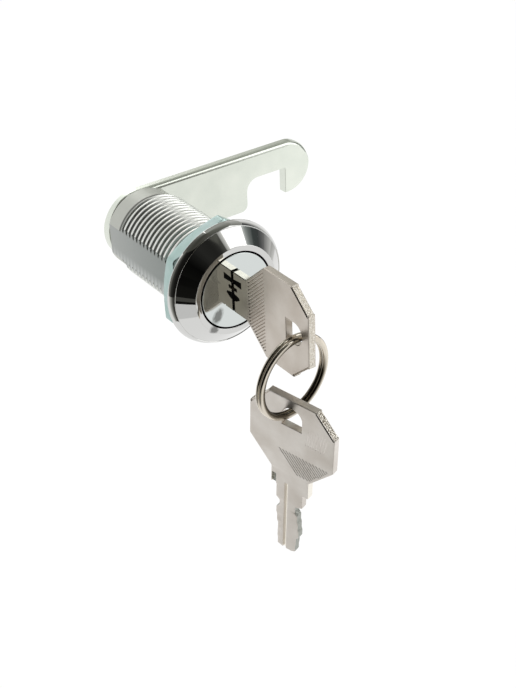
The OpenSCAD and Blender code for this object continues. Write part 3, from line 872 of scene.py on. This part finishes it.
ring_at = ring_hang - ring_spot(ring_hang_deg)
upright = Matrix.Rotation(math.radians(90), 4, "X")
in_plug = Matrix.Translation((0, shoulder_y*MM, 0)) @ Matrix.Rotation(math.radians(-90), 4, "Z")
in_plug = in_plug @ Matrix.Rotation(math.radians(90), 4, "Y") @ upright
on_ring = Matrix.Translation((ring_at + ring_spot(spare_hang_deg))*MM)
for degrees, way in spare_turns:
    on_ring = on_ring @ Matrix.Rotation(math.radians(degrees), 4, way)
on_ring = on_ring @ upright @ Matrix.Translation((spare_aside*MM, (-hole_arch - spare_play)*MM, 0))
slope_out = Vector((bow_end - bow_rear, bow_half_w - bow_end_half_w, 0)).normalized()
first_cut = shoulder_y - wafer_first + cut_half + cut_lead
for name, body, matrix, front in (("key_in_plug", "inserted_key", in_plug, 1),
                                  ("key_on_ring", "spare_key", on_ring, -1)):
    plug_shaded = body == "inserted_key"
    made = key(name, front, plug_shaded)
    dress(made, handled_nickel if plug_shaded else clean_nickel, body, "satin_nickel", body)
    for finish in (lit_mill if plug_shaded else pitted_mill, painted_bright_nickel, bare, neck_shade):
        made.data.materials.append(finish)
    # Each face takes the finish of its place: milled slope, painted-bright groove floor or neck edge, bare
    # cut, and painted black shade on the neck of the key in the plug.
    for face in made.data.polygons:
        middle = face.center/MM
        on_slope = Vector((abs(face.normal.x), face.normal.y, 0)).dot(slope_out) > 0.97
        if middle.y > bow_rear and (on_slope or plug_shaded and face.normal.y > 0.97):
            face.material_index = 1
        below = key_t/2 - abs(middle.z) if abs(face.normal.z) > 0.9 else 0
        if abs(below - groove_h) < 0.02 or 0 < middle.y < neck_l and abs(face.normal.x) > 0.7:
            face.material_index = 2
        on_cut = middle.y < first_cut and abs(face.normal.z) < 0.5 and abs(middle.x) > 1.2
        if on_cut or abs(below - step_h) < 0.02:
            face.material_index = 3
        on_near = middle.z > key_t/2 - 0.1
        # Painted shade: the patches and the line where the neck meets the plug take the black material.
        in_shade_patch = 0 < middle.y < shade_patch_reach[1] and abs(middle.x) < shade_patch_reach[0]
        in_shade_patch = in_shade_patch and on_near and middle.z < key_t/2 - 0.01
        on_seam = -0.02 < middle.y < seam_w + 0.01 and (on_near or middle.x < 0.1 - neck_half_w)
        if plug_shaded and (in_shade_patch or on_seam):
            face.material_index = 4
    made.data.transform(matrix)


# Split ring
# Spring wire wound nearly twice round on itself, nickel plated. It steps from one turn to the other at its
# open side, where keys are threaded on.

wire_half_r = 0.55
wire_half_a = 0.34
wire_pitch = 0.73
wire_round = 0.33
ring_ends_deg = 54
ring_open_deg = 30
ring_sweep = 720 - ring_open_deg
# Bands and places of the ring's painted highlights.
sheen_band = (0.16, 0.42)
inner_sheen_band = (0.25, 0.16)
sheen_deg = ((215, 28), (100, 30))
wire_corners = ((wire_half_r, -wire_half_a), (wire_half_r, wire_half_a), (-wire_half_r, wire_half_a),
                (-wire_half_r, -wire_half_a))
wire_section = rounded([(*corner, wire_round) for corner in wire_corners], 4)
wire_section.append(wire_section[0])
ring_rows = []
for t in np.linspace(0, ring_sweep, 240):
    step = min(max((t - 360 + ring_open_deg)/ring_open_deg, 0), 1)
    a = math.radians(ring_ends_deg + ring_open_deg/2 + t)
    middle = wire_pitch*(step*step*(3 - 2*step) - 0.5)
    outs = [ring_r + spot.real for spot in wire_section]
    ring_rows.append([(out*math.cos(a), middle + spot.imag, out*math.sin(a))
                      for out, spot in zip(outs, wire_section)])
ends = [[np.mean(ring_rows[k], 0)]*len(wire_section) for k in (0, -1)]
ring_rows = [ends[0]] + ring_rows + [ends[1]]
ring_piece = skin("key_ring", ring_rows, closed=False)


def near(value, middle, reach):
    """1 at a middle, falling to 0 at a reach on both sides of it."""
    return max(1 - abs(value - middle)/reach, 0)


# Painted light on the plate: a painted highlight along a band on the turns and at the rear, painted shade
# inside but for the ring's right side, and two places outside painted brighter.
painted_sheen = []
for vertex in ring_piece.data.vertices:
    spot = vertex.co/MM
    out = math.hypot(spot.x, spot.z) - ring_r
    back = spot.y/wire_pitch
    degrees = math.degrees(math.atan2(spot.z, spot.x)) % 360
    from_right = (degrees + 180) % 360 - 180
    wear_and_sheen = 2.2*near(out, *sheen_band) + 3*max(back - 0.4, 0)
    if out < 0 and abs(from_right) < 60:
        upper = min(max((from_right + 15)/30, 0), 1)
        wear_and_sheen += near(back, *inner_sheen_band) + upper*min(3*abs(back), 1)
    elif out < 0:
        wear_and_sheen *= 0.4
    else:
        wear_and_sheen += max(near(degrees, *place) for place in sheen_deg)
    painted_sheen.append(min(wear_and_sheen, 1))
ring_piece.data.attributes.new("painted_sheen", "FLOAT", "POINT").data.foreach_set("value", painted_sheen)
ring_piece.data.transform(Matrix.Translation(ring_at*MM) @ ring_turn)

# Bright nickel plate on drawn wire: warm painted highlights where the painted sheen is high, and painted
# brown shade between the turns.
bright_nickel, tree, shader, place = metal("nickel_plate_bright_on_wire", "#D0C8BA", 0.12)
# The painted sheen picks the tone: brown painted shade or a warm painted highlight.
painted_sheen = node(tree, "Attribute", attribute_name="painted_sheen").outputs["Fac"]
sheen_tone = node(tree, "Mix", {"Factor": painted_sheen, "A": colour("#4C4538"), "B": colour("#D6CEC0")}, data_type="RGBA")
draw = node(tree, "TexNoise", {"Vector": place, "Scale": 1/(0.6*MM), "Detail": 3})
polish = node(tree, "MapRange", {"Value": draw, "To Min": 0.08, "To Max": 0.2})
join(tree, shader, {"Base Color": sheen_tone, "Roughness": polish})
dress(ring_piece, bright_nickel, "split_ring", "nickel_ring_steel", "split_ring")


# Floor
# Table covered with matt white paper, well below the hanging keys. It keeps the lock's soft shadow, and
# doesn't show in the metal's reflections.

floor_z = -70
floor_half = 3000
floor_loop = box_loop(-floor_half, -floor_half, floor_half, floor_half)
floor = solid("floor", [(spot.real, spot.imag, floor_z) for spot in floor_loop], [(0, 1, 2, 3)])
floor.modifiers.clear()
floor.visible_glossy = False
paper = bpy.data.materials.new("paper_white_matt")
paper.use_nodes = True
tree = paper.node_tree
tree.nodes.clear()
fibre = node(tree, "TexNoise", {"Vector": node(tree, "TexCoord").outputs["Object"], "Scale": 1/(2*MM)})
shade = node(tree, "MapRange", {"Value": fibre, "To Min": 0.86, "To Max": 0.88})
matt = node(tree, "BsdfDiffuse", {"Color": shade})
glow = node(tree, "Emission", {"Color": (1, 1, 1, 1), "Strength": 1.08})
rays = node(tree, "LightPath").outputs
seen = node(tree, "Math", {0: rays["Is Camera Ray"], 1: 0.8}, operation="MULTIPLY")
both = node(tree, "MixShader", {0: seen, 1: matt, 2: glow})
node(tree, "OutputMaterial", {"Surface": both})
floor.data.materials.append(paper)


# Studio
# White surroundings, a broad soft light overhead and a fill from the right. Dark and bright panels stand
# round the lock and show only in the metal's reflections, as flags in a light tent do.

world = bpy.data.worlds.new("light_tent")
bpy.context.scene.world = world
world.use_nodes = True
tree = world.node_tree
tree.nodes.clear()
rays = node(tree, "LightPath").outputs
seen = node(tree, "Math", {0: rays["Is Camera Ray"], 1: rays["Is Glossy Ray"]}, operation="ADD")
seen = node(tree, "Math", {0: seen, 1: rays["Is Transmission Ray"]}, operation="ADD", use_clamp=True)
strength = node(tree, "MapRange", {"Value": seen, "To Min": 0.7, "To Max": 1.02})
tent = node(tree, "Background", {"Color": (1, 1, 1, 1), "Strength": strength})
node(tree, "OutputWorld", {"Surface": tent})


def soft_light(name, place, width, height, brightness):
    """Rectangular soft light of a given brightness, where 1 is white, that looks at the lock."""
    lamp = bpy.data.lights.new(name, "AREA")
    lamp.shape = "RECTANGLE"
    lamp.size = width*MM
    lamp.size_y = height*MM
    lamp.energy = brightness*math.pi*lamp.size*lamp.size_y
    made = bpy.data.objects.new(name, lamp)
    place = Vector(place)*MM
    made.matrix_world = Matrix.Translation(place) @ (-place).to_track_quat("-Z", "Y").to_matrix().to_4x4()
    bpy.context.scene.collection.objects.link(made)


def panel(name, azimuths, elevations, codes, brightness=1, distance=600):
    """Studio panel on a sphere about the lock, toned from left to right, that only reflections show."""
    turns = np.linspace(*azimuths, 25)
    rises = np.radians(np.linspace(*elevations, 17))
    tones = np.array([colour(code) for code in codes])
    shares = np.linspace(0, 1, len(codes))
    points, shades = [], []
    for k, turn in enumerate(np.radians(turns)):
        across, along = distance*math.sin(turn), -distance*math.cos(turn)
        points += [(across*math.cos(rise), along*math.cos(rise), distance*math.sin(rise)) for rise in rises]
        shades += [[np.interp(k/(len(turns) - 1), shares, tones[:, c]) for c in range(4)]]*len(rises)
    size = len(rises)
    faces = [(k*size + j, (k + 1)*size + j, (k + 1)*size + j + 1, k*size + j + 1)
             for k in range(len(turns) - 1) for j in range(size - 1)]
    made = solid(name, points, faces)
    made.modifiers.clear()
    tone = made.data.color_attributes.new("tone", "FLOAT_COLOR", "POINT")
    tone.data.foreach_set("color", np.array(shades).ravel())
    board = bpy.data.materials.new(name + "_board")
    board.use_nodes = True
    tree = board.node_tree
    tree.nodes.clear()
    shade = node(tree, "Attribute", attribute_name="tone").outputs["Color"]
    glow = node(tree, "Emission", {"Color": shade, "Strength": brightness})
    node(tree, "OutputMaterial", {"Surface": glow})
    made.data.materials.append(board)
    made.visible_camera = made.visible_diffuse = made.visible_shadow = made.visible_transmission = False


soft_light("overhead_soft_light", (60, 60, 420), 420, 320, 1.6)
soft_light("right_fill_light", (380, -220, 120), 260, 300, 0.9)
panel("dark_front_panel", (-110, -3), (-18.5, 55),
      ["#8C8C86", "#3A3A37", "#1C1C1A", "#191917", "#0A0A09", "#2D2D2B", "#282826"])
panel("dark_top_panel", (-3, 33), (38, 55), ["#282826", "#30302E", "#545450", "#F0F0EC"])
panel("dark_upper_panel", (-3, 28), (24, 38), ["#282826", "#545450"])
panel("dark_middle_panel", (-3, 34), (-12, 24), ["#282826", "#62625A"])
panel("dark_step_panel", (-62, -46), (-24.5, -18.5), ["#4C4C48"])
panel("dark_bar_panel", (-62, -46), (-28.5, -24.5), ["#141412"])
panel("grey_left_panel", (-62, -50), (-52, -28.5), ["#E4E4E4"])
panel("dark_side_panel", (-108, -62), (-56, -18.5), ["#F0F0EC", "#A8A8A2", "#50504C", "#2A2A28"])
panel("grey_low_panel", (-50, -3), (-46, -18.5), ["#D6D5CC", "#DEDDD4"])
panel("dark_right_panel", (66, 107), (-24, 35),
      ["#E0E4E2", "#868C8A", "#464C4B", "#464A4A", "#7C7C7C", "#C2C2C0", "#E4E4E2", "#FAFAFA"], 1, 400)
panel("grey_side_panel", (69, 125), (35, 56), ["#8A8C86", "#D8D8D4"])
panel("grey_ceiling_panel", (-178, 178), (51, 89.8),
      ["#A0A29C", "#5E5E59", "#45453F", "#585852", "#74766E", "#B0B2AC", "#A0A29C"], 1, 380)
panel("white_soft_box_panel", (33, 66), (27, 52), ["#FFFFFF"], 1.7)
panel("white_low_box_panel", (34, 58), (8, 27), ["#FFFFFF"], 1.7)
panel("white_strip_panel", (28, 33), (24, 38), ["#FFFFFF"], 1.7)
panel("white_rear_panel", (152, 198), (25, 44), ["#FFFFFF", "#FFFFFF", "#C8C8C8", "#BEBEBE"], 2.3)
panel("grey_corner_panel", (122, 152), (6, 44), ["#90928C", "#B0B2AC", "#F0F0EC"])
panel("grey_rear_panel", (125, 252), (44, 56), ["#A4A6A0", "#90928C", "#6A6A64"])
panel("white_right_panel", (50, 84), (-45, -8), ["#FFFFFF"], 1.2, 150)


# Camera
# A long lens above the lock's front left, at the photograph's viewing angle. The lock is held level, with its
# keys hanging down.

camera_at = (-102.19, -158.36, 108.39)
camera_azimuth = math.radians(-34.46)
camera_elevation = math.radians(32.76)
camera_roll = math.radians(-2.33)
camera_lens = 66.97
lens = bpy.data.cameras.new("camera")
lens.sensor_fit = "VERTICAL"
lens.sensor_height = 36
lens.lens = camera_lens
lens.clip_start = 0.005
camera = bpy.data.objects.new("camera", lens)
camera.matrix_world = (Matrix.Translation(Vector(camera_at)*MM) @ Matrix.Rotation(camera_azimuth, 4, "Z")
                       @ Matrix.Rotation(math.pi/2 - camera_elevation, 4, "X")
                       @ Matrix.Rotation(camera_roll, 4, "Z"))
bpy.context.scene.collection.objects.link(camera)
bpy.context.scene.camera = camera
bpy.context.scene.view_settings.view_transform = "Standard"
